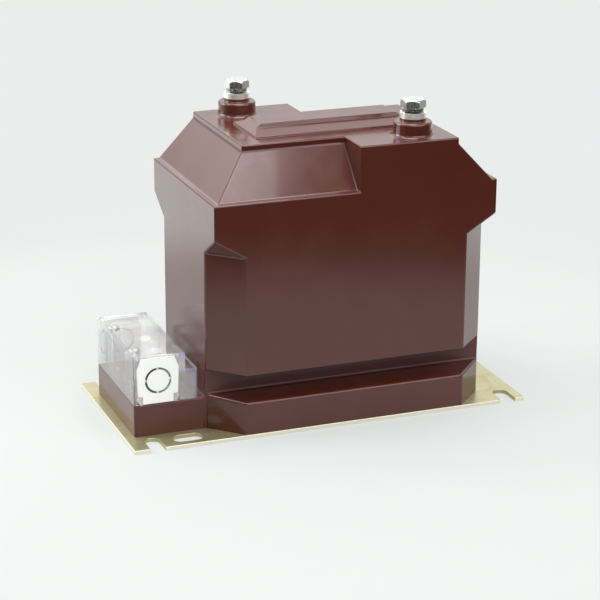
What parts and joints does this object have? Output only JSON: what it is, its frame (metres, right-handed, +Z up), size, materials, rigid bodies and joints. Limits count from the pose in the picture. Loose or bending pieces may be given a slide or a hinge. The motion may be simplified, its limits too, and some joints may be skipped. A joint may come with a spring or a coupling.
{
  "type": "indoor voltage transformer",
  "caption": "Indoor cast-resin voltage transformer: brown-red block body with bolted roof terminals, clear secondary terminal cover and slotted steel base plate",
  "frame": {"origin": "middle of the base plate's underside", "axes": "+X from the secondary terminal box to the plain end, along the plate's length; -Y is the front, where the picture's near terminal stands; +Z is up"},
  "size_m": [0.322, 0.15, 0.2479],
  "materials": {
    "resin": "glossy cast epoxy resin",
    "plate": "yellow-passivated zinc plating",
    "zinc": "bright zinc plating",
    "brass": "machined",
    "core": "bonded silicon steel strip",
    "copper": "enamelled copper",
    "pressboard": "pressboard and insulating film",
    "clear": "clear moulded polycarbonate",
    "white": "moulded plastic"
  },
  "bodies": {
    "root": {"resin_casting": "resin", "base_plate": "plate", "plate_screws": "zinc", "plate_inserts": "brass", "hv_inserts": "brass", "hv_bolts": "zinc", "hv_spring_washers": "zinc", "hv_flat_washers": "zinc", "core_left_half": "core", "core_right_half": "core", "core_band": "zinc", "winding_former": "pressboard", "secondary_winding": "copper", "winding_insulation": "pressboard", "primary_winding": "copper", "hv_leads": "copper", "lv_leads": "copper", "lv_inserts": "brass", "lv_screws": "zinc", "lv_spring_washers": "zinc", "lv_clamp_washers": "brass", "secondary_cover": "clear", "cover_screws": "zinc", "cover_inserts": "brass", "front_entry_plate": "white", "back_entry_plate": "white"}
  },
  "joints": []
}
